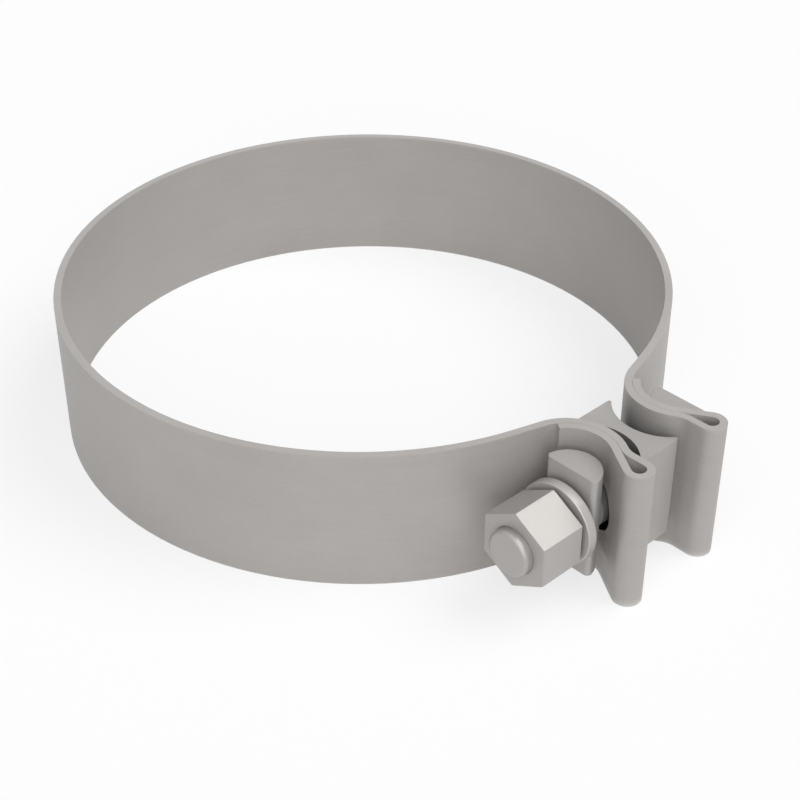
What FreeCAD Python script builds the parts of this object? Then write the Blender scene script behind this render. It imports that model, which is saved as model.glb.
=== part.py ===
import FreeCAD, Part
import math
import os

import Sketcher
from FreeCAD import Vector

# Flat band clamp for a slip joint in an exhaust pipe.
# Origin at the centre of the hoop, at mid width. +Z runs along the pipe, +X points from the
# pipe to the bolt, and the bolt lies along Y with its nut at -Y. Lengths are in millimetres,
# angles in degrees.

SIZES = [
    ("hoop_inner_radius", 66.1, "bore of the open hoop"),
    ("band_width", 31.75, "width of the strap, along the pipe"),
    ("strap_thickness", 1.6, "sheet thickness of the strap"),
    ("fold_gap", 0.05, "space between the two layers of a folded ear"),
    ("gap_half", 5.25, "half the gap between the ears, at its narrowest"),
    ("root_straight", 5.9, "straight run from the hoop to the bend of an ear"),
    ("throat_radius", 5.0, "bend that turns the ear into its end loop, on the centre line"),
    ("loop_setback", 2.6, "how far the end loop stands back from the face of its ear"),
    ("loop_run", 3.57, "level run of the strap between the throat and the end loop"),
    ("loop_bore", 1.5, "inside radius of the end loop"),
    ("return_slope", 33.0, "slope of the cut at the strap's free end"),
    ("ear_hole_play", 1.0, "space round the bolt in the holes of the ears"),
    ("bolt_diameter", 10.0, "shank of the bolt"),
    ("bolt_proud", 2.0, "length of the shank beyond the nut"),
    ("bolt_rounding", 0.9, "rounded edge at the end of the shank"),
    ("bolt_rise", 0.6, "how far the loose bolt lies above mid width"),
    ("bolt_lean", 0.15, "how far the loose bolt lies outward from the middle of the ears"),
    ("bolt_shift", 0.22, "how far the loose bolt and what it carries lie towards its head"),
    ("head_overhang", 3.5, "how far the low round head stands out from the shank"),
    ("head_height", 4.2, "height of the head at its crown"),
    ("head_rim", 1.2, "height of the head at its rim"),
    ("head_play", 0.3, "space between the head and its bar"),
    ("end_inset", 4.275, "how far the bars and the block are shorter than the strap, at each end"),
    ("bar_hole_play", 0.35, "space round the bolt in a bar"),
    ("bar_wall", 0.95, "thinnest wall of a bar, beside its hole"),
    ("bar_corner", 1.0, "rounding of the long corners of a bar"),
    ("bar_clearance", 1.7, "how much the round of a bar is smaller than its seat in the ear"),
    ("bar_play", 2.03, "how far a bar stands off its seat in the open clamp"),
    ("bar_lean", 0.2, "how far a loose bar hangs outward on the bolt"),
    ("hollow_tightness", 0.65, "how much the hollow of the block is tighter than the ear"),
    ("block_neck", 2.74, "thickness of the block between its hollows"),
    ("block_play", 1.63, "space between the sharp tips of the block and the end loops"),
    ("block_tip_radius", 0.4, "rounding of the four tips of the block"),
    ("block_hole_play", 1.0, "space round the bolt in the block"),
    ("block_setback", 0.75, "how far the loose block lies towards the pipe from the bolt"),
    ("block_shift", 0.68, "how far the loose block lies towards the head of the bolt"),
    ("washer_rim", 3.6, "width of the washer's ring"),
    ("washer_thickness", 2.2, "thickness of the washer"),
    ("washer_hole_play", 0.3, "space round the bolt in the washer"),
    ("washer_edge", 0.15, "chamfer on the rims of the washer"),
    ("washer_play", 1.14, "space between the washer and its bar"),
    ("nut_wall", 2.65, "wall of the nut from the shank to a flat"),
    ("nut_height", 10.7, "height of the nut"),
    ("nut_play", 0.85, "space between the nut and the washer"),
    ("nut_corner_break", 0.4, "how far the end chamfer of the nut reaches in from its corners"),
    ("nut_chamfer_angle", 30.0, "slope of that chamfer"),
    ("thread_play", 0.05, "space between the nut's bore and the shank"),
]

# Sizes that follow from the ones above, so that what seats or passes through stays in line.
FOLLOWING = [
    ("shank_radius", "Sizes.bolt_diameter / 2"),
    ("bar_radius", "Follow.shank_radius + Sizes.bar_hole_play + Sizes.bar_wall"),
    ("seat_radius", "Follow.bar_radius + Sizes.bar_clearance"),
    ("folded_thickness", "2 * Sizes.strap_thickness + Sizes.fold_gap"),
    ("ear_radius", "Follow.seat_radius + Follow.folded_thickness"),
    ("ear_spread", "Sizes.gap_half + Follow.ear_radius"),
    ("ear_reach", "sqrt((Sizes.hoop_inner_radius + Follow.ear_radius) ^ 2"
                  " + Sizes.root_straight ^ 2 - Follow.ear_spread ^ 2)"),
    ("throat_half", "Sizes.gap_half + Sizes.loop_setback"),
    ("filler_height", "Sizes.band_width - 2 * Sizes.end_inset"),
    ("bolt_reach", "Follow.ear_reach + Sizes.bolt_lean"),
    ("bar_back", "Sizes.gap_half + Follow.folded_thickness + Sizes.bar_play + Follow.bar_radius"),
    ("hollow_radius", "Follow.ear_radius - Sizes.hollow_tightness"),
    ("block_tip", "Follow.throat_half - Sizes.block_play"),
]

ORIGIN = -1
X_AXIS = -1
START, END, CENTRE = 1, 2, 3
Z_DIRECTION = Vector(0, 0, 1)
EDGE_TOLERANCE = 1e-4

doc = FreeCAD.newDocument("exhaust_clamp")

sheet = doc.addObject("Spreadsheet::Sheet", "Sizes")
for row, (alias, value, note) in enumerate(SIZES, start=1):
    sheet.set(f"A{row}", alias)
    sheet.set(f"B{row}", str(value))
    sheet.set(f"C{row}", note)
    sheet.setAlias(f"B{row}", alias)

follow = doc.addObject("App::VarSet", "Follow")
for name, rule in FOLLOWING:
    follow.addProperty("App::PropertyFloat", name, "Follow")
    follow.setExpression(name, rule)
doc.recompute()


def worth(rule):
    """The present value of a rule written in terms of the sizes."""
    return float(sheet.evalExpression(rule))


def heading(angle):
    """The unit vector at an angle from +X."""
    return Vector(math.cos(math.radians(angle)), math.sin(math.radians(angle)), 0)


def angle_of(vector):
    """The angle of a vector from +X."""
    return math.degrees(math.atan2(vector.y, vector.x))


def new_body(label, along_x="0", along_y="0", along_z="0"):
    """A body whose place follows three rules."""
    body = doc.addObject("PartDesign::Body", label)
    body.Label = label
    body.setExpression("Placement.Base.x", along_x)
    body.setExpression("Placement.Base.y", along_y)
    body.setExpression("Placement.Base.z", along_z)
    return body


def origin_plane(body, role):
    """One of the body's own origin planes."""
    return next(item for item in body.Origin.OriginFeatures if item.Role == role)


def new_sketch(body, name, role):
    """An empty sketch on one of the body's own origin planes."""
    sketch = body.newObject("Sketcher::SketchObject", name)
    sketch.AttachmentSupport = [(origin_plane(body, role), "")]
    sketch.MapMode = "FlatFace"
    return sketch


def bind(sketch, kind, where, rule):
    """Adds a dimension of a kind to a place in the sketch and ties it to a rule."""
    index = sketch.addConstraint(Sketcher.Constraint(kind, *where, worth(rule)))
    sketch.setExpression(f"Constraints[{index}]", rule)


def place_point(sketch, curve, point, across, up):
    """Ties a point of a curve to two distances from the sketch's origin."""
    bind(sketch, "DistanceX", (ORIGIN, 1, curve, point), across)
    bind(sketch, "DistanceY", (ORIGIN, 1, curve, point), up)


def corner_sketch(body, name, role, corners, curved=None):
    """A closed outline through corners given as pairs of rules.

    A side listed in curved, by the number of its first corner, is an arc that runs
    anticlockwise. Three rules give the two coordinates of its centre and its radius.
    """
    curved = curved or {}
    sketch = new_sketch(body, name, role)
    points = [Vector(worth(across), worth(up), 0) for across, up in corners]
    for index, start in enumerate(points):
        end = points[(index + 1) % len(points)]
        if index in curved:
            centre = Vector(worth(curved[index][0]), worth(curved[index][1]), 0)
            first = angle_of(start - centre)
            last = angle_of(end - centre)
            if last <= first:
                last += 360
            circle = Part.Circle(centre, Z_DIRECTION, (start - centre).Length)
            side = Part.ArcOfCircle(circle, math.radians(first), math.radians(last))
        else:
            side = Part.LineSegment(start, end)
        sketch.addGeometry(side, False)
    for index, (across, up) in enumerate(corners):
        following = (index + 1) % len(corners)
        sketch.addConstraint(Sketcher.Constraint("Coincident", index, END, following, START))
        place_point(sketch, index, START, across, up)
        if index in curved:
            bind(sketch, "Radius", (index,), curved[index][2])
    return sketch


def circle_sketch(body, name, role, across, up, diameter):
    """One circle, for a round hole."""
    sketch = new_sketch(body, name, role)
    centre = Vector(worth(across), worth(up), 0)
    sketch.addGeometry(Part.Circle(centre, Z_DIRECTION, worth(diameter) / 2), False)
    place_point(sketch, 0, CENTRE, across, up)
    bind(sketch, "Diameter", (0,), diameter)
    return sketch


def pad(body, sketch, name, length, both_ways):
    """Extrudes a sketch, evenly to both sides or to one."""
    feature = body.newObject("PartDesign::Pad", name)
    feature.Profile = sketch
    feature.setExpression("Length", length)
    feature.Midplane = both_ways
    return feature


def prove_cut(body, add_feature):
    """Adds a cutting feature and proves that it took material away."""
    doc.recompute()
    before = body.Shape.Volume
    feature = add_feature()
    doc.recompute()
    if not body.Shape.Volume < before:
        raise RuntimeError(f"{feature.Label} cut nothing")


def bore(body, name, across, up, play):
    """Cuts a round hole for the bolt along Y through the whole body."""
    sketch = circle_sketch(body, f"{name}_circle", "XZ_Plane", across, up,
                           f"Sizes.bolt_diameter + 2 * {play}")

    def pocket():
        feature = body.newObject("PartDesign::Pocket", name)
        feature.Profile = sketch
        feature.Type = "ThroughAll"
        feature.Midplane = True
        return feature

    prove_cut(body, pocket)


def turn(body, sketch, name, kind="PartDesign::Revolution"):
    """Turns a sketch a full circle about its own upright axis."""
    feature = body.newObject(kind, name)
    feature.Profile = sketch
    feature.ReferenceAxis = (sketch, ["V_Axis"])
    feature.Angle = 360.0
    return feature


def round_upright_edges(body, solid, name, radius):
    """Rounds every edge of an extruded solid that runs along Z."""
    doc.recompute()
    upright = [f"Edge{number}" for number, edge in enumerate(solid.Shape.Edges, start=1)
               if len(edge.Vertexes) == 2
               and abs(edge.Vertexes[0].Z - edge.Vertexes[1].Z) > EDGE_TOLERANCE]
    feature = body.newObject("PartDesign::Fillet", name)
    feature.Base = (solid, upright)
    feature.setExpression("Radius", radius)


class Bend:
    """An arc of the strap's centre line. A negative sweep turns clockwise."""

    def __init__(self, centre, radius, start, sweep):
        self.centre = centre
        self.radius = radius
        self.start = start
        self.sweep = sweep
        self.entry, self.exit = (START, END) if sweep > 0 else (END, START)

    def beside(self, offset):
        """The arc that runs alongside, to the left for a positive offset."""
        low, high = sorted((self.start, self.start + self.sweep))
        circle = Part.Circle(self.centre, Z_DIRECTION, self.radius_beside(offset))
        return Part.ArcOfCircle(circle, math.radians(low), math.radians(high))

    def radius_beside(self, offset):
        return self.radius - math.copysign(offset, offset * self.sweep)

    def point(self, offset, at_end):
        """The first or last point of the arc that runs alongside."""
        angle = self.start + self.sweep if at_end else self.start
        return self.centre + self.radius_beside(offset) * heading(angle)


class Straight:
    """A straight run of the strap's centre line."""

    entry, exit = START, END

    def __init__(self, start, end):
        self.start = start
        self.end = end

    def beside(self, offset):
        along = (self.end - self.start).normalize()
        left = offset * Vector(-along.y, along.x, 0)
        return Part.LineSegment(self.start + left, self.end + left)


# The runs of half a strap in their order, from mid hoop to the free end of one ear.
HOOP, ROOT, EAR, THROAT, LEVEL, LOOP, WAY_BACK, RETURN = range(8)
RUNS = 8


def half_strap():
    """The centre line of the strap on the side of +Y, from the far side of the hoop.

    The strap leaves the hoop on a straight tangent, bends round the bar's seat, turns in at the
    throat, goes round the end loop and comes back on the inside of its own bend.
    """
    thickness = worth("Sizes.strap_thickness")
    hoop = worth("Sizes.hoop_inner_radius") + thickness / 2
    ear = Vector(worth("Follow.ear_reach"), worth("Follow.ear_spread"), 0)
    ear_bend = worth("Follow.ear_radius") - thickness / 2
    return_bend = worth("Follow.seat_radius") + thickness / 2
    throat_bend = worth("Sizes.throat_radius")
    loop_bend = worth("Sizes.loop_bore") + thickness / 2
    level = worth("Follow.throat_half") + thickness / 2

    # The root: a straight that touches the hoop on one side and the ear's bend on the other.
    root = angle_of(ear) + math.degrees(math.acos((hoop + ear_bend) / ear.Length))

    # The throat: its centre lies in the gap, and it touches the ear's bend and the level run.
    drop = ear.y - level + throat_bend
    across = math.sqrt((ear_bend + throat_bend) ** 2 - drop ** 2)
    throat = Vector(ear.x + across, level - throat_bend, 0)
    turn_in = angle_of(throat - ear) + 360

    # The way back: a straight that crosses over from the loop to the inner layer of the ear.
    loop = Vector(throat.x + worth("Sizes.loop_run"), level + loop_bend, 0)
    link = ear - loop
    crossing = math.degrees(math.asin((loop_bend + return_bend) / link.Length))
    way_back = angle_of(link) + crossing
    side = heading(way_back + 90)
    free_end = 180 + worth("Sizes.return_slope")

    return [
        Bend(Vector(), hoop, 180, root - 180),
        Straight(hoop * heading(root), ear - ear_bend * heading(root)),
        Bend(ear, ear_bend, root + 180, turn_in - root - 180),
        Bend(throat, throat_bend, turn_in - 180, 270 - turn_in),
        Straight(Vector(throat.x, level, 0), Vector(loop.x, level, 0)),
        Bend(loop, loop_bend, -90, way_back),
        Straight(loop - loop_bend * side, ear + return_bend * side),
        Bend(ear, return_bend, way_back + 90, free_end - way_back - 90),
    ]


def strap_sketch(body):
    """The outline of half the strap: both faces of the sheet, closed at mid hoop and at its end."""
    sketch = new_sketch(body, "half_strap_outline", "XY_Plane")
    path = half_strap()
    half = worth("Sizes.strap_thickness") / 2
    faces = [
        (half, 0, {
            HOOP: "Sizes.hoop_inner_radius + Sizes.strap_thickness",
            EAR: "Follow.ear_radius - Sizes.strap_thickness",
            THROAT: "Sizes.throat_radius + Sizes.strap_thickness / 2",
            LOOP: "Sizes.loop_bore",
            RETURN: "Follow.seat_radius + Sizes.strap_thickness",
        }, "Follow.throat_half + Sizes.strap_thickness"),
        (-half, RUNS, {
            HOOP: "Sizes.hoop_inner_radius",
            EAR: "Follow.ear_radius",
            THROAT: "Sizes.throat_radius - Sizes.strap_thickness / 2",
            LOOP: "Sizes.loop_bore + Sizes.strap_thickness",
            RETURN: "Follow.seat_radius",
        }, "Follow.throat_half"),
    ]
    for offset, first, radii, level in faces:
        for run in path:
            sketch.addGeometry(run.beside(offset), False)
        for number in range(RUNS - 1):
            sketch.addConstraint(Sketcher.Constraint(
                "Tangent", first + number, path[number].exit,
                first + number + 1, path[number + 1].entry))
        for number, radius in radii.items():
            bind(sketch, "Radius", (first + number,), radius)
        sketch.addConstraint(
            Sketcher.Constraint("Coincident", first + HOOP, CENTRE, ORIGIN, START))
        sketch.addConstraint(
            Sketcher.Constraint("PointOnObject", first + HOOP, path[HOOP].entry, X_AXIS))
        place_point(sketch, first + EAR, CENTRE, "Follow.ear_reach", "Follow.ear_spread")
        sketch.addConstraint(Sketcher.Constraint("Horizontal", first + LEVEL))
        bind(sketch, "DistanceY", (ORIGIN, START, first + LEVEL, START), level)
        bind(sketch, "Distance", (first + LEVEL,), "Sizes.loop_run")
        sketch.addConstraint(
            Sketcher.Constraint("Coincident", first + RETURN, CENTRE, first + EAR, CENTRE))
    for run, place, at_end in ((HOOP, path[HOOP].entry, False), (RETURN, path[RETURN].exit, True)):
        cut = sketch.addGeometry(Part.LineSegment(path[run].point(half, at_end),
                                                  path[run].point(-half, at_end)), False)
        sketch.addConstraint(Sketcher.Constraint("Coincident", cut, START, run, place))
        sketch.addConstraint(Sketcher.Constraint("Coincident", cut, END, RUNS + run, place))
    sketch.addConstraint(Sketcher.Constraint("PointOnObject", EAR, CENTRE, cut))
    bind(sketch, "Angle", (cut,), "Sizes.return_slope * 1 deg")
    return sketch


def make_band():
    """One strap: the hoop, and at each end an ear folded back on itself round an open loop."""
    body = new_body("band")
    half = pad(body, strap_sketch(body), "half_strap", "Sizes.band_width", True)
    doc.recompute()
    strap = body.newObject("PartDesign::Mirrored", "whole_strap")
    strap.Originals = [half]
    strap.MirrorPlane = (origin_plane(body, "XZ_Plane"), [""])
    body.Tip = strap
    bore(body, "ear_holes", "Follow.ear_reach", "0", "Sizes.ear_hole_play")
    return body


def make_block():
    """The block in the gap: hollow on both sides to seat on the ears, and drilled at its neck."""
    body = new_body("reaction_block", "Follow.bolt_reach - Sizes.block_setback",
                    "Sizes.block_shift", "Sizes.bolt_rise")
    tip = "Follow.block_tip"
    centre = "(Sizes.block_neck / 2 + Follow.hollow_radius)"
    half = f"sqrt(Follow.hollow_radius ^ 2 - ({centre} - {tip}) ^ 2)"
    corners = [(half, tip), (half, f"-{tip}"), (f"-{half}", f"-{tip}"), (f"-{half}", tip)]
    hollows = {
        1: ("0", f"-{centre}", "Follow.hollow_radius"),
        3: ("0", centre, "Follow.hollow_radius"),
    }
    sketch = corner_sketch(body, "block_outline", "XY_Plane", corners, hollows)
    solid = pad(body, sketch, "block", "Follow.filler_height", True)
    round_upright_edges(body, solid, "rounded_tips", "Sizes.block_tip_radius")
    bore(body, "block_bore", "0", "0", "Sizes.block_hole_play")
    return body


def make_bar(label, side):
    """A half round bar: its round sits in the ear, its flat takes the nut or the head.

    side is +1 for the ear at +Y and -1 for the ear at -Y.
    """
    body = new_body(label, "Follow.bolt_reach + Sizes.bar_lean",
                    f"Sizes.bolt_shift + {side} * Follow.bar_back", "Sizes.bolt_rise")
    sketch = new_sketch(body, "bar_outline", "XY_Plane")
    radius = worth("Follow.bar_radius")
    first, last = (180, 360) if side > 0 else (0, 180)
    circle = Part.Circle(Vector(), Z_DIRECTION, radius)
    sketch.addGeometry(Part.ArcOfCircle(circle, math.radians(first), math.radians(last)), False)
    sketch.addGeometry(Part.LineSegment(radius * heading(last), radius * heading(first)), False)
    sketch.addConstraint(Sketcher.Constraint("Coincident", 0, END, 1, START))
    sketch.addConstraint(Sketcher.Constraint("Coincident", 1, END, 0, START))
    sketch.addConstraint(Sketcher.Constraint("Coincident", 0, CENTRE, ORIGIN, START))
    sketch.addConstraint(Sketcher.Constraint("PointOnObject", 0, START, X_AXIS))
    sketch.addConstraint(Sketcher.Constraint("PointOnObject", 0, END, X_AXIS))
    bind(sketch, "Radius", (0,), "Follow.bar_radius")
    solid = pad(body, sketch, "bar", "Follow.filler_height", True)
    round_upright_edges(body, solid, "rounded_corners", "Sizes.bar_corner")
    bore(body, "bar_bore", "-Sizes.bar_lean", "0", "Sizes.bar_hole_play")
    return body


def make_washer():
    """A flat ring, turned about the bolt."""
    back = "Sizes.bolt_shift - (Follow.bar_back + Sizes.washer_play)"
    body = new_body("washer", "Follow.bolt_reach", back, "Sizes.bolt_rise")
    hole = "(Follow.shank_radius + Sizes.washer_hole_play)"
    rim = f"({hole} + Sizes.washer_rim)"
    edge = "Sizes.washer_edge"
    front = "-Sizes.washer_thickness"
    corners = [
        (hole, "0"),
        (hole, front),
        (f"{rim} - {edge}", front),
        (rim, f"{front} + {edge}"),
        (rim, f"-{edge}"),
        (f"{rim} - {edge}", "0"),
    ]
    turn(body, corner_sketch(body, "washer_section", "XY_Plane", corners), "ring")
    return body


def make_nut():
    """A hexagon nut with a corner at the top, its ends chamfered just at the corners."""
    back = ("Sizes.bolt_shift - (Follow.bar_back + Sizes.washer_play + Sizes.washer_thickness"
            " + Sizes.nut_play)")
    body = new_body("nut", "Follow.bolt_reach", back, "Sizes.bolt_rise")
    side = "(Follow.shank_radius + Sizes.nut_wall)"
    corner = f"({side} * 2 / sqrt(3))"
    corners = [
        ("0", corner),
        (f"-{side}", f"{corner} / 2"),
        (f"-{side}", f"-{corner} / 2"),
        ("0", f"-{corner}"),
        (side, f"-{corner} / 2"),
        (side, f"{corner} / 2"),
    ]
    hexagon = corner_sketch(body, "hexagon", "XZ_Plane", corners)
    pad(body, hexagon, "prism", "Sizes.nut_height", False)
    bore(body, "nut_bore", "0", "0", "Sizes.thread_play")
    reach = "Sizes.nut_corner_break"
    drop = f"({reach} * tan(Sizes.nut_chamfer_angle * 1 deg))"
    for name, face, inward in (("front", "-Sizes.nut_height", ""), ("back", "0", "-")):
        corners = [
            (f"{corner} - {reach}", face),
            (f"{corner} + {reach}", face),
            (f"{corner} + {reach}", f"{face} + 2 * {inward}{drop}"),
        ]
        section = corner_sketch(body, f"{name}_chamfer", "XY_Plane", corners)
        prove_cut(body, lambda: turn(body, section, f"{name}_corners", "PartDesign::Groove"))
    return body


def make_bolt():
    """The bolt: a plain shank with a rounded end and a low domed head, turned in one piece."""
    seat = "Sizes.bolt_shift + Follow.bar_back + Sizes.head_play"
    body = new_body("bolt", "Follow.bolt_reach", seat, "Sizes.bolt_rise")
    shank = "Follow.shank_radius"
    head = f"({shank} + Sizes.head_overhang)"
    end = ("-(2 * Follow.bar_back + Sizes.head_play + Sizes.washer_play + Sizes.washer_thickness"
           " + Sizes.nut_play + Sizes.nut_height + Sizes.bolt_proud)")
    rounding = "Sizes.bolt_rounding"
    crown = "(Sizes.head_height - Sizes.head_rim)"
    dome = f"(({head} ^ 2 + {crown} ^ 2) / (2 * {crown}))"
    corners = [
        ("0", end),
        (f"{shank} - {rounding}", end),
        (shank, f"{end} + {rounding}"),
        (shank, "0"),
        (head, "0"),
        (head, "Sizes.head_rim"),
        ("0", "Sizes.head_height"),
    ]
    curved = {
        1: (f"{shank} - {rounding}", f"{end} + {rounding}", rounding),
        5: ("0", f"Sizes.head_height - {dome}", dome),
    }
    turn(body, corner_sketch(body, "bolt_section", "XY_Plane", corners, curved), "turned_bolt")
    return body


pieces = [
    make_band(),
    make_block(),
    make_bar("nut_side_bar", -1),
    make_bar("head_side_bar", 1),
    make_washer(),
    make_nut(),
    make_bolt(),
]

doc.recompute()
for item in doc.Objects:
    faults = [word for word in ("Invalid", "Error") if word in item.State]
    if faults:
        raise RuntimeError(f"{item.Label}: {faults}")
    if item.isDerivedFrom("Sketcher::SketchObject") and not item.FullyConstrained:
        raise RuntimeError(f"{item.Label} is not fully constrained")
for piece in pieces:
    if piece.Shape.isNull() or not piece.Shape.isValid() or len(piece.Shape.Solids) != 1:
        raise RuntimeError(f"{piece.Label} is not one sound solid")

os.makedirs("parts", exist_ok=True)
for piece in pieces:
    piece.Shape.exportStep(f"parts/{piece.Label}.step")
    box = piece.Shape.BoundBox
    print(f"{piece.Label:16s} volume {piece.Shape.Volume:10.1f}"
          f"  x {box.XMin:8.2f} {box.XMax:8.2f}  y {box.YMin:8.2f} {box.YMax:8.2f}"
          f"  z {box.ZMin:8.2f} {box.ZMax:8.2f}")
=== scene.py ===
import math

import bmesh
import bpy
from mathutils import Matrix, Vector


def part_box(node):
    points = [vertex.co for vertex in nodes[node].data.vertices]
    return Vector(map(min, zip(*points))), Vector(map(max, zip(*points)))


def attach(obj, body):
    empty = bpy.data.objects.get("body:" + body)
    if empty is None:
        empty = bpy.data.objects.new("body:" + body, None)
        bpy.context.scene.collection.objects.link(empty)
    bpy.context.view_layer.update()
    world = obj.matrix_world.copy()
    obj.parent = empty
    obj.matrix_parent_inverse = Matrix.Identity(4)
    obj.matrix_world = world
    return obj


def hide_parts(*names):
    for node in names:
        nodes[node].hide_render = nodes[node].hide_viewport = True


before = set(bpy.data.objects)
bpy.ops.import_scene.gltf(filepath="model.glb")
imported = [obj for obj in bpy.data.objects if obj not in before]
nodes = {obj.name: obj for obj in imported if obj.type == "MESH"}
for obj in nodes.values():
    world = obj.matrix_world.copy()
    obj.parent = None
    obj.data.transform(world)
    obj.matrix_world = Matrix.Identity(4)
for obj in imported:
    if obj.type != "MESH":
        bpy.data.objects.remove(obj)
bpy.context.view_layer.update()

# Lengths are in metres, in the row frame, where the names say nothing else.

# The camera stands where the photograph's did.
IMAGE_SIDE = 800
FOCAL_PIXELS = 1694.21
SENSOR_MM = 36.0
NEAR_LIMIT = 0.01
CAMERA_PLACE = Vector((0.23910, -0.21604, 0.20885))
CAMERA_HEADING = Vector((-0.59219, 0.56238, -0.57711))

# The bolt lies along Y, with its head at +Y. Its place and its ends are read from the frame,
# and so are those of the nut and the strap.
bolt_low, bolt_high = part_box("bolt")
nut_low, nut_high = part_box("nut")
strap_low, strap_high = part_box("band")
AXIS_X = (bolt_low.x + bolt_high.x) / 2
AXIS_Z = (bolt_low.z + bolt_high.z) / 2

# Bolt. Its dome takes this share of its way to the rim, and an eased edge takes the rest.
SHANK_RADIUS = 0.005
HEAD_RADIUS = (bolt_high.x - bolt_low.x) / 2
HEAD_HEIGHT = 0.0042
HEAD_RIM = 0.0012
HEAD_EDGE = 0.0002
DOME_SHARE = 0.975
DOME_STEPS = 10
END_ROUNDING = 0.0009
END_STEPS = 8

# A metric thread of 60 degrees. Its groove runs from one crest to the next: the share of the
# pitch and the share of the depth at each corner. The nut's groove is cut outward from its
# bore, so that it clears the bolt's plain end in every pose. The bolt's groove starts in the
# nut side bar and stops this far inside the nut's outer end.
PITCH = 0.0015
THREAD_DEPTH = 0.000812
THREAD_PROFILE = [(0.0, 0.0), (0.125, 0.0), (0.4375, 1.0), (0.6875, 1.0)]
THREAD_TOP = -0.0112
THREAD_STOP = 0.0002
THREAD_END = nut_low.y + THREAD_STOP

# Nut. Half a flat is the turn from a flat's middle to its corner.
NUT_SIDE = (nut_high.x - nut_low.x) / 2
NUT_CORNER_RADIUS = 0.00012
NUT_EDGE = 0.00008
NUT_CORNER_BREAK = 0.00012
NUT_BREAK_SLOPE = math.radians(30.0)
NUT_BORE = 0.00505
NUT_THREAD_DEPTH = 0.0006
HALF_FLAT = math.pi / 6

# Turned meshes: lines for a full turn, and what counts as one point and as a sharp edge
COLUMNS = 72
MERGE_DISTANCE = 1e-7
SHARP_ANGLE = math.radians(32.0)

# Colours are linear.
STRAP_COLOUR = (0.400, 0.382, 0.367)
FORMED_COLOUR = (0.415, 0.397, 0.381)
FASTENER_COLOUR = (0.400, 0.383, 0.368)
# The washer is lighter than the other steel: painted light that makes up for the shade it sits
# in.
WASHER_PAINTED_LIGHT_COLOUR = (0.470, 0.450, 0.432)

# Grain: the scale of each noise for each metre along each axis, and its detail. Noise is
# spread from one of the two values to the other.
ROLLED = ((60.0, 60.0, 2400.0), 4.0)
DRAWN = ((2400.0, 2400.0, 90.0), 3.0)
SPECKLE = ((2600.0, 2600.0, 2600.0), 2.0)
CLOUDS = ((55.0, 55.0, 55.0), 3.0)
RINGS_SCALE = 2600.0
RINGS_DETAIL = 3.0
NOISE_RANGE = (0.3, 0.7)

# How far the grain, the clouds, the speckle and the wear move the shade and the roughness.
STREAK_SHADE = 0.03
CLOUD_SHADE = 0.035
SPECKLE_SHADE = 0.02
WEAR_SHADE = 0.07
STREAK_ROUGHNESS = 0.05
CLOUD_ROUGHNESS = 0.03
WEAR_ROUGHNESS = 0.08
RELIEF_STRENGTH = 0.5
RELIEF_HEIGHT = 0.00002

# Wear: how far the eased surface has to turn for full wear at a corner, and where it starts
# and is full below the strap's two cut rims.
EDGE_SAMPLES = 4
WORN_MATCH = 0.85
RIM_WEAR_START = 0.0005
RIM_WEAR_FULL = 0.00005

# Openness: a point counts as in a gap below the first value, and as open above the second.
GAP_SAMPLES = 6
GAP_RANGE = (0.3, 0.8)

# Strap: the radius of its ears' holes and how dark the painted shade on their walls is, how far
# out its return ends reach, and how much painted light brightens its metal inside folds
# narrower than the reach.
HOLE_RADIUS = 0.006
HOLE_BORDER = 0.0002
HOLE_SHADE_LEVEL = 0.02
RETURN_END = 0.0696
RETURN_BORDER = 0.001
FOLD_REACH = 0.0025
FOLD_LIGHT_GAIN = 0.6

# Block: painted shade covers the walls that face along the bolt, between these two shares of
# facing, where an ear is nearer than the reach.
HOLLOW_FACING = (0.1, 0.4)
HOLLOW_REACH = 0.007
HOLLOW_SHADE_LEVEL = 0.9

# Bolt: how far from its middle the shank carries painted shade, and how much of its colour is
# left there.
SHADED_LENGTH = 0.0115
SHADED_BORDER = 0.002
SHANK_SHADE_LEVEL = 0.5

# Other pieces: a little painted shade in gaps narrower than the reach.
GAP_REACH = 0.0008
GAP_SHADE_LEVEL = 0.6

# The floor's albedo for the light that it throws back. For rays that see it, a part of its
# paleness takes a shadow and the rest is a glow.
FLOOR_REACH = 6.0
FLOOR_ALBEDO = 0.8
FLOOR_SHADED = 0.26
FLOOR_GLOW = 0.72

# Light: a plain even level, and two broad soft lamps. The key comes over the nut, and the top
# one from above the ears, on the head's side. The spread is in degrees.
WORLD_LEVEL = 0.28
WORLD_SEEN = 0.98
KEY_FROM = Vector((0.54, -0.62, 0.57))
KEY_STRENGTH = 1.7
KEY_SPREAD = 70.0
TOP_FROM = Vector((0.40, 0.42, 0.81))
TOP_STRENGTH = 1.65
TOP_SPREAD = 45.0


def link(obj):
    bpy.context.scene.collection.objects.link(obj)
    return obj


# Values in materials

def remap(tree, source, low, high, to_low, to_high):
    """Stretches one range of a value to another."""
    node = tree.nodes.new("ShaderNodeMapRange")
    for socket, value in (("From Min", low), ("From Max", high),
                          ("To Min", to_low), ("To Max", to_high)):
        node.inputs[socket].default_value = value
    tree.links.new(source, node.inputs["Value"])
    return node.outputs["Result"]


def combine(tree, operation, first, second):
    """Joins two values, either of which may be a plain number."""
    node = tree.nodes.new("ShaderNodeMath")
    node.operation = operation
    for socket, value in zip(node.inputs, (first, second)):
        if isinstance(value, float):
            socket.default_value = value
        else:
            tree.links.new(value, socket)
    return node.outputs["Value"]


def magnitude(tree, value):
    return combine(tree, "ABSOLUTE", value, 0.0)


def axes(tree, vector):
    """A vector's three parts."""
    parts = tree.nodes.new("ShaderNodeSeparateXYZ")
    tree.links.new(vector, parts.inputs["Vector"])
    return parts.outputs


def own_place(tree):
    """Where a point is in its object's own coordinates."""
    return tree.nodes.new("ShaderNodeTexCoord").outputs["Object"]


def surface_normal(tree):
    return tree.nodes.new("ShaderNodeNewGeometry").outputs["Normal"]


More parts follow.
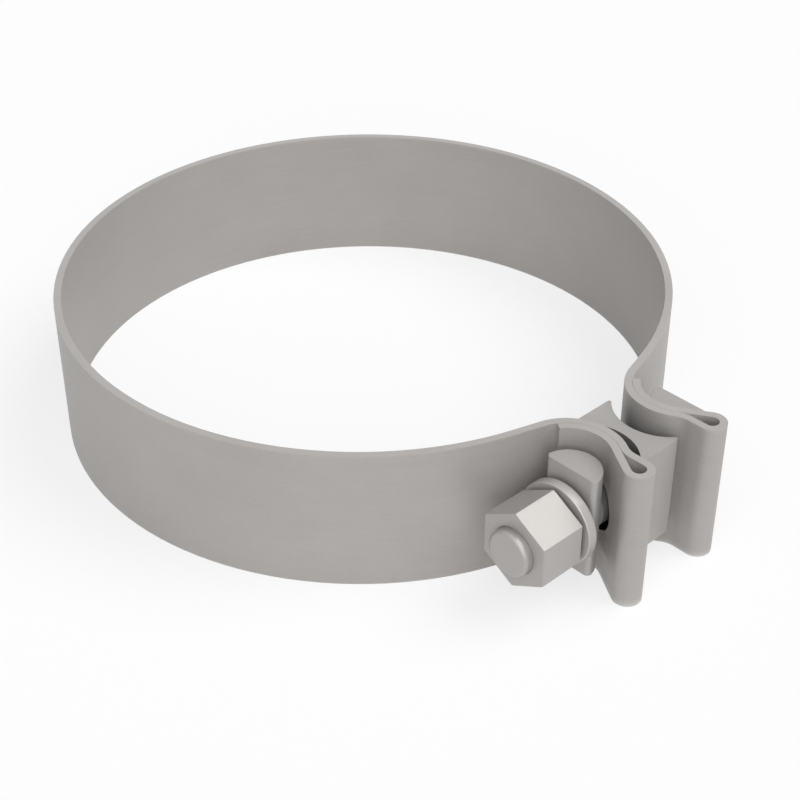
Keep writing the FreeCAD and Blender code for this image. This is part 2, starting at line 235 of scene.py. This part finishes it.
def bolt_place(tree, height):
    """How far a point is from an axis along Y at this height, and its place along it."""
    centre = tree.nodes.new("ShaderNodeVectorMath")
    centre.operation = "SUBTRACT"
    centre.inputs[1].default_value = (AXIS_X, 0.0, height)
    across = tree.nodes.new("ShaderNodeCombineXYZ")
    radius = tree.nodes.new("ShaderNodeVectorMath")
    radius.operation = "LENGTH"
    tree.links.new(own_place(tree), centre.inputs[0])
    parts = axes(tree, centre.outputs["Vector"])
    tree.links.new(parts["X"], across.inputs["X"])
    tree.links.new(parts["Z"], across.inputs["Z"])
    tree.links.new(across.outputs["Vector"], radius.inputs[0])
    return radius.outputs["Value"], parts["Y"]


def noise_at(tree, vector, scale, detail):
    noise = tree.nodes.new("ShaderNodeTexNoise")
    noise.inputs["Scale"].default_value = scale
    noise.inputs["Detail"].default_value = detail
    tree.links.new(vector, noise.inputs["Vector"])
    return noise.outputs["Fac"]


def scaled_noise(tree, scale, detail):
    """Noise in the object's own coordinates, with a scale for each axis."""
    stretch = tree.nodes.new("ShaderNodeMapping")
    stretch.inputs["Scale"].default_value = scale
    tree.links.new(own_place(tree), stretch.inputs["Vector"])
    return noise_at(tree, stretch.outputs["Vector"], 1.0, detail)


def swing(tree, noise, reach, middle=0.0):
    """Noise, spread by this reach to both sides of the middle."""
    return remap(tree, noise, *NOISE_RANGE, middle - reach, middle + reach)


def gap_share(tree, reach, narrow, wide):
    """One value in gaps narrower than the reach, another where the metal lies open."""
    gap = tree.nodes.new("ShaderNodeAmbientOcclusion")
    gap.samples = GAP_SAMPLES
    gap.inputs["Distance"].default_value = reach
    return remap(tree, gap.outputs["AO"], *GAP_RANGE, narrow, wide)


# Grain, as the making of each piece left it

def rolled(tree):
    """Fine lines along the strap: long level streaks, close together across its width."""
    return scaled_noise(tree, *ROLLED)


def drawn(tree):
    """Fine lines along a drawn bar, which stands upright."""
    return scaled_noise(tree, *DRAWN)


def lathe(tree):
    """Fine rings round the bolt's axis."""
    radius, along = bolt_place(tree, AXIS_Z)
    joined = tree.nodes.new("ShaderNodeCombineXYZ")
    tree.links.new(radius, joined.inputs["X"])
    tree.links.new(along, joined.inputs["Y"])
    return noise_at(tree, joined.outputs["Vector"], RINGS_SCALE, RINGS_DETAIL)


# Wear

def eased_normal(tree, width):
    """The surface's direction, eased over its sharp edges."""
    eased = tree.nodes.new("ShaderNodeBevel")
    eased.samples = EDGE_SAMPLES
    eased.inputs["Radius"].default_value = width
    return eased.outputs["Normal"]


def worn_corners(tree, normal):
    """1 at sharp edges, 0 away from them."""
    match = tree.nodes.new("ShaderNodeVectorMath")
    match.operation = "DOT_PRODUCT"
    tree.links.new(normal, match.inputs[0])
    tree.links.new(surface_normal(tree), match.inputs[1])
    return remap(tree, match.outputs["Value"], 1.0, WORN_MATCH, 0.0, 1.0)


def worn_rims(tree):
    """1 at the strap's two cut rims, 0 away from them."""
    height = magnitude(tree, axes(tree, own_place(tree))["Z"])
    return remap(tree, height, strap_high.z - RIM_WEAR_START, strap_high.z - RIM_WEAR_FULL,
                 0.0, 1.0)


# Painted light and shade. Each gives a factor on the metal's colour, metallic and gloss, where
# 1 is
# its plain colour: below 1 is painted shade, above 1 is painted light.

def strap_painted_light_and_shade(tree):
    """Painted light brightens the sheet inside its folds, and painted shade blackens the holes'
    walls.
    """
    radius, _ = bolt_place(tree, 0.0)
    holes = remap(tree, radius, HOLE_RADIUS, HOLE_RADIUS + HOLE_BORDER, HOLE_SHADE_LEVEL, 1.0)
    ears = remap(tree, axes(tree, own_place(tree))["X"], RETURN_END,
                 RETURN_END + RETURN_BORDER, 0.0, 1.0)
    bright = combine(tree, "MULTIPLY", ears, gap_share(tree, FOLD_REACH, FOLD_LIGHT_GAIN, 0.0))
    return combine(tree, "MULTIPLY", holes, combine(tree, "ADD", bright, 1.0))


def block_painted_shade(tree):
    """Painted shade darkens the walls of the two hollows, where an ear is near."""
    facing = magnitude(tree, axes(tree, surface_normal(tree))["Y"])
    hollow = remap(tree, facing, *HOLLOW_FACING, 0.0, 1.0)
    painted_cover = combine(tree, "MULTIPLY", hollow, gap_share(tree, HOLLOW_REACH, HOLLOW_SHADE_LEVEL, 0.0))
    return combine(tree, "SUBTRACT", 1.0, painted_cover)


def bolt_painted_shade(tree):
    """Painted shade darkens the shank between the bars."""
    _, along = bolt_place(tree, AXIS_Z)
    return remap(tree, magnitude(tree, along), SHADED_LENGTH, SHADED_LENGTH + SHADED_BORDER,
                 SHANK_SHADE_LEVEL, 1.0)


def gap_painted_shade(tree):
    """A little painted shade darkens narrow gaps."""
    return gap_share(tree, GAP_REACH, GAP_SHADE_LEVEL, 1.0)


# Materials

def steel(name, colour, grain, painted_light_and_shade, metallic, roughness, gloss, edge_width=None):
    """Satin steel. Without an edge width, its wear is at the strap's rims alone."""
    material = bpy.data.materials.new(name)
    material.use_nodes = True
    tree = material.node_tree
    shader = tree.nodes["Principled BSDF"]
    # The painted light and shade scale the colour, metallic and gloss.
    painted_factor = painted_light_and_shade(tree)
    tree.links.new(combine(tree, "MULTIPLY", painted_factor, metallic), shader.inputs["Metallic"])
    tree.links.new(combine(tree, "MULTIPLY", painted_factor, gloss), shader.inputs["Specular IOR Level"])
    streaks = grain(tree)
    speckle = scaled_noise(tree, *SPECKLE)
    clouds = scaled_noise(tree, *CLOUDS)
    normal = eased_normal(tree, edge_width) if edge_width else None
    wear = worn_corners(tree, normal) if edge_width else worn_rims(tree)

    shade = combine(tree, "ADD", swing(tree, streaks, STREAK_SHADE),
                    swing(tree, clouds, CLOUD_SHADE))
    shade = combine(tree, "ADD", shade, swing(tree, speckle, SPECKLE_SHADE, 1.0))
    shade = combine(tree, "ADD", shade, combine(tree, "MULTIPLY", wear, WEAR_SHADE))
    shade = combine(tree, "MULTIPLY", shade, painted_factor)
    tint = tree.nodes.new("ShaderNodeVectorMath")
    tint.operation = "SCALE"
    tint.inputs[0].default_value = colour
    tree.links.new(shade, tint.inputs["Scale"])
    tree.links.new(tint.outputs["Vector"], shader.inputs["Base Color"])

    satin = combine(tree, "ADD", swing(tree, streaks, STREAK_ROUGHNESS, roughness),
                    swing(tree, clouds, CLOUD_ROUGHNESS))
    satin = combine(tree, "SUBTRACT", satin, combine(tree, "MULTIPLY", wear, WEAR_ROUGHNESS))
    tree.links.new(satin, shader.inputs["Roughness"])

    relief = tree.nodes.new("ShaderNodeBump")
    relief.inputs["Strength"].default_value = RELIEF_STRENGTH
    relief.inputs["Distance"].default_value = RELIEF_HEIGHT
    tree.links.new(combine(tree, "ADD", streaks, speckle), relief.inputs["Height"])
    if normal:
        tree.links.new(normal, relief.inputs["Normal"])
    tree.links.new(relief.outputs["Normal"], shader.inputs["Normal"])
    return material


def dress(obj, material):
    """Gives one material to the whole of an object."""
    obj.data.materials.clear()
    obj.data.materials.append(material)


# After its grain, each material takes the function that gives its painted light and shade.
strap_steel = steel("strap_steel", STRAP_COLOUR, rolled, strap_painted_light_and_shade,
                    metallic=0.25, roughness=0.50, gloss=0.3)
block_steel = steel("block_steel", FORMED_COLOUR, drawn, block_painted_shade,
                    metallic=0.25, roughness=0.50, gloss=0.3, edge_width=0.0001)
bar_steel = steel("bar_steel", FORMED_COLOUR, drawn, gap_painted_shade,
                  metallic=0.25, roughness=0.50, gloss=0.3, edge_width=0.00025)
nut_steel = steel("nut_steel", FASTENER_COLOUR, lathe, gap_painted_shade,
                  metallic=0.35, roughness=0.46, gloss=0.5, edge_width=0.0001)
bolt_steel = steel("bolt_steel", FASTENER_COLOUR, lathe, bolt_painted_shade,
                   metallic=0.35, roughness=0.36, gloss=0.5, edge_width=0.00012)
washer_steel = steel("washer_steel", WASHER_PAINTED_LIGHT_COLOUR, lathe, gap_painted_shade,
                     metallic=0.35, roughness=0.40, gloss=0.5, edge_width=0.00012)

for name, material in (("band", strap_steel), ("reaction_block", block_steel),
                       ("nut_side_bar", bar_steel), ("head_side_bar", bar_steel),
                       ("washer", washer_steel)):
    dress(nodes[name], material)


# Geometry

def around(radius, along, angle):
    """A point round the bolt's axis. The angle is measured from +X towards +Z."""
    return (AXIS_X + radius * math.cos(angle), along, AXIS_Z + radius * math.sin(angle))


def arc(centre_radius, centre_along, radius, first, last, steps):
    """Points (radius, along) on part of a circle, between two angles in degrees."""
    points = []
    for step in range(steps + 1):
        angle = math.radians(first + (last - first) * step / steps)
        points.append((centre_radius + radius * math.cos(angle),
                       centre_along + radius * math.sin(angle)))
    return points


def thread_rows(top, end, angle):
    """Where one line down a right hand thread meets its corners: (share of depth, along).

    The rows follow the helix, and those beyond either end of the thread lie on that end.
    """
    lead = PITCH * angle / (2 * math.pi)
    rows = []
    for turn in range(math.ceil((top - end) / PITCH) + 2):
        for share, depth in THREAD_PROFILE:
            along = top + PITCH + lead - (turn + share) * PITCH
            rows.append((depth, min(max(along, end), top)))
    return rows


def turned_mesh(name, angles, path, closed):
    """A surface round the bolt's axis. path(angle) gives as many points for each angle.

    The first and last angle are a full turn apart, and their points are merged, also where a
    helix has moved on by one pitch.
    """
    maker = bmesh.new()
    columns = [[maker.verts.new(around(radius, along, angle)) for radius, along in path(angle)]
               for angle in angles]
    rows = len(columns[0])
    for column, following in zip(columns, columns[1:]):
        for row in range(rows if closed else rows - 1):
            below = (row + 1) % rows
            maker.faces.new((column[row], following[row], following[below], column[below]))
    bmesh.ops.remove_doubles(maker, verts=maker.verts, dist=MERGE_DISTANCE)
    bmesh.ops.dissolve_degenerate(maker, edges=maker.edges, dist=MERGE_DISTANCE)
    bmesh.ops.recalc_face_normals(maker, faces=maker.faces)
    mesh = bpy.data.meshes.new(name)
    maker.to_mesh(mesh)
    maker.free()
    mesh.shade_smooth()
    mesh.set_sharp_from_angle(angle=SHARP_ANGLE)
    return link(bpy.data.objects.new(name, mesh))


even_angles = [2 * math.pi * index / COLUMNS for index in range(COLUMNS + 1)]


# Bolt: a domed head, a plain neck, the thread and a rounded plain end

seat = bolt_high.y - HEAD_HEIGHT
crown = HEAD_HEIGHT - HEAD_RIM
dome_radius = (HEAD_RADIUS ** 2 + crown ** 2) / (2 * crown)
dome_edge = math.degrees(math.asin(HEAD_RADIUS / dome_radius))
head_path = arc(0.0, bolt_high.y - dome_radius, dome_radius, 90.0,
                90.0 - dome_edge * DOME_SHARE, DOME_STEPS)
head_path += [
    (HEAD_RADIUS, seat + HEAD_RIM - HEAD_EDGE),
    (HEAD_RADIUS, seat + HEAD_EDGE),
    (HEAD_RADIUS - HEAD_EDGE, seat),
    (SHANK_RADIUS + HEAD_EDGE, seat),
    (SHANK_RADIUS, seat - HEAD_EDGE),
    (SHANK_RADIUS, THREAD_TOP + PITCH),
]
end_path = arc(SHANK_RADIUS - END_ROUNDING, bolt_low.y + END_ROUNDING, END_ROUNDING,
               0.0, -90.0, END_STEPS)
end_path.append((0.0, bolt_low.y))


def bolt_path(angle):
    """The thread's groove runs out over its first pitch and its last half pitch."""
    thread = []
    for depth, along in thread_rows(THREAD_TOP, THREAD_END, angle):
        fade = min(1.0, (THREAD_TOP - along) / PITCH, (along - THREAD_END) / (PITCH / 2))
        thread.append((SHANK_RADIUS - THREAD_DEPTH * depth * fade, along))
    return head_path + thread + end_path


bolt = turned_mesh("threaded_bolt", even_angles, bolt_path, False)
dress(bolt, bolt_steel)
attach(bolt, "bolt")
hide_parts("bolt")


# Nut: six flats, slightly eased corners and edges, and the groove inside

corner_reach = (NUT_SIDE - NUT_CORNER_RADIUS) / math.cos(HALF_FLAT)
corner_start = math.atan2(NUT_CORNER_RADIUS * math.sin(HALF_FLAT),
                          corner_reach + NUT_CORNER_RADIUS * math.cos(HALF_FLAT))
break_radius = NUT_SIDE / math.cos(HALF_FLAT) - NUT_CORNER_BREAK


def nut_radius(angle):
    """The hexagon's reach, with a corner at the top."""
    corner = abs((angle - math.pi / 2 + HALF_FLAT) % (2 * HALF_FLAT) - HALF_FLAT)
    if corner >= corner_start:
        return NUT_SIDE / math.cos(HALF_FLAT - corner)
    offset = corner_reach * math.sin(corner)
    return corner_reach * math.cos(corner) + math.sqrt(NUT_CORNER_RADIUS ** 2 - offset ** 2)


def nut_path(angle):
    """Round the nut's wall: its outside from the washer's end, then back along the groove.

    The groove runs out over its first and last pitch.
    """
    reach = nut_radius(angle)
    drop = max(reach - break_radius, 0.0) * math.tan(NUT_BREAK_SLOPE)
    flat = min(reach, break_radius)
    outside = [
        (flat - NUT_EDGE, nut_high.y),
        (reach, nut_high.y - drop - NUT_EDGE),
        (reach, nut_low.y + drop + NUT_EDGE),
        (flat - NUT_EDGE, nut_low.y),
    ]
    groove = []
    for depth, along in thread_rows(nut_high.y, nut_low.y, angle):
        fade = min(1.0, (nut_high.y - along) / PITCH, (along - nut_low.y) / PITCH)
        groove.append((NUT_BORE + NUT_THREAD_DEPTH * depth * fade, along))
    return outside + groove[::-1]


nut_angles = set(even_angles)
for corner in range(6):
    for share in (-1.0, -0.5, 0.5, 1.0):
        nut_angles.add(math.radians(30.0 + 60.0 * corner) + share * corner_start)
nut = turned_mesh("threaded_nut", sorted(nut_angles), nut_path, True)
dress(nut, nut_steel)
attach(nut, "nut")
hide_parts("nut")


# Floor, light and camera

def seen_directly(tree):
    """1 for rays that see the place as it is: the camera's, and those in metal or glass."""
    path = tree.nodes.new("ShaderNodeLightPath").outputs
    seen = combine(tree, "MAXIMUM", path["Is Camera Ray"], path["Is Glossy Ray"])
    return combine(tree, "MAXIMUM", seen, path["Is Transmission Ray"])


def make_floor():
    level = strap_low.z
    corners = [(x * FLOOR_REACH, y * FLOOR_REACH, level)
               for x, y in ((-1, -1), (1, -1), (1, 1), (-1, 1))]
    mesh = bpy.data.meshes.new("floor")
    mesh.from_pydata(corners, [], [(0, 1, 2, 3)])
    floor = link(bpy.data.objects.new("floor", mesh))
    material = bpy.data.materials.new("floor")
    material.use_nodes = True
    tree = material.node_tree
    shader = tree.nodes["Principled BSDF"]
    shader.inputs["Roughness"].default_value = 1.0
    shader.inputs["Specular IOR Level"].default_value = 0.0
    shader.inputs["Emission Color"].default_value = (1.0, 1.0, 1.0, 1.0)
    seen = seen_directly(tree)
    tree.links.new(remap(tree, seen, 0.0, 1.0, FLOOR_ALBEDO, FLOOR_SHADED),
                   shader.inputs["Base Color"])
    tree.links.new(combine(tree, "MULTIPLY", seen, FLOOR_GLOW),
                   shader.inputs["Emission Strength"])
    floor.data.materials.append(material)


def make_world():
    world = bpy.data.worlds.new("studio")
    bpy.context.scene.world = world
    world.use_nodes = True
    tree = world.node_tree
    background = tree.nodes["Background"]
    background.inputs["Color"].default_value = (1.0, 1.0, 1.0, 1.0)
    level = remap(tree, seen_directly(tree), 0.0, 1.0, WORLD_LEVEL, WORLD_SEEN)
    tree.links.new(level, background.inputs["Strength"])


def make_light(name, comes_from, strength, spread):
    lamp = bpy.data.lights.new(name, "SUN")
    lamp.energy = strength
    lamp.angle = math.radians(spread)
    obj = link(bpy.data.objects.new(name, lamp))
    obj.rotation_euler = comes_from.to_track_quat("Z", "Y").to_euler()


def make_camera():
    lens = bpy.data.cameras.new("camera")
    lens.sensor_width = SENSOR_MM
    lens.lens = SENSOR_MM * FOCAL_PIXELS / IMAGE_SIDE
    lens.clip_start = NEAR_LIMIT
    camera = link(bpy.data.objects.new("camera", lens))
    camera.location = CAMERA_PLACE
    camera.rotation_euler = CAMERA_HEADING.to_track_quat("-Z", "Y").to_euler()
    bpy.context.scene.camera = camera


make_floor()
make_world()
make_light("key", KEY_FROM, KEY_STRENGTH, KEY_SPREAD)
make_light("top", TOP_FROM, TOP_STRENGTH, TOP_SPREAD)
make_camera()
bpy.context.scene.view_settings.view_transform = "Standard"
